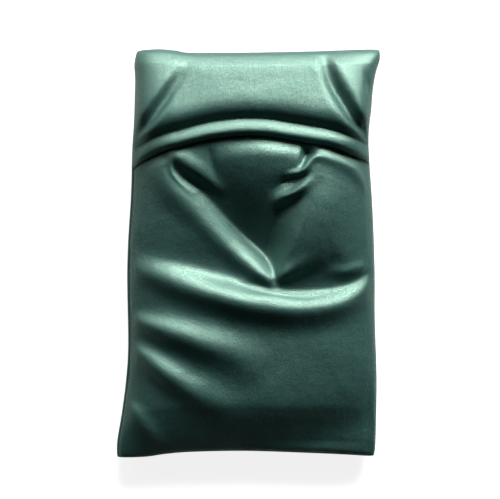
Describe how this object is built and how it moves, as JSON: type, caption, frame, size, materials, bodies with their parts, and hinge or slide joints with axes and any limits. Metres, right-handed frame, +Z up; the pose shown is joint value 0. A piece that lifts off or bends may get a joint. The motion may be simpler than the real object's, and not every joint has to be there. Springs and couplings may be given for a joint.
{
  "type": "eye pillow",
  "caption": "Seed-filled eye pillow: a cotton pouch of seeds inside a velvet envelope cover whose short hemmed flap overlaps the long panel.",
  "frame": {"origin": "under the middle of the pillow, on the surface it rests on", "axes": "+Y along the pillow's length, towards the end that the flap covers; +Z up, out of the envelope side; +X across"},
  "size_m": [0.1324, 0.2046, 0.0267],
  "materials": {
    "velvet": "silk-like velvet, deep green in the folds and pale mint where its pile catches the light",
    "cotton": "plain-woven natural cotton, matt",
    "seeds": "glossy brown flax seeds",
    "green_thread": "spun sewing thread, satin",
    "pale_thread": "undyed cotton sewing thread"
  },
  "bodies": {
    "cover": {"front_panel": "velvet", "lower_panel": "velvet", "pouch_front_panel": "cotton", "pouch_back_panel": "cotton", "seed_fill": "seeds", "left_seam_thread": "green_thread", "right_seam_thread": "green_thread", "bottom_seam_thread": "green_thread", "top_seam_thread": "green_thread", "left_overlock_thread": "green_thread", "right_overlock_thread": "green_thread", "bottom_overlock_thread": "green_thread", "top_overlock_thread": "green_thread", "lower_hem_needle_thread": "green_thread", "lower_hem_bobbin_thread": "green_thread", "pouch_seam_thread": "pale_thread", "pouch_closing_thread": "pale_thread"},
    "flap": {"flap_panel": "velvet", "flap_hem_needle_thread": "green_thread", "flap_hem_bobbin_thread": "green_thread"}
  },
  "joints": [
    {"name": "flap_lift", "type": "hinge", "parent": "cover", "child": "flap", "pos_m": [0, 0.10225, 0.007], "axis": [-1, 0, 0], "range_deg": [0, 35]}
  ]
}
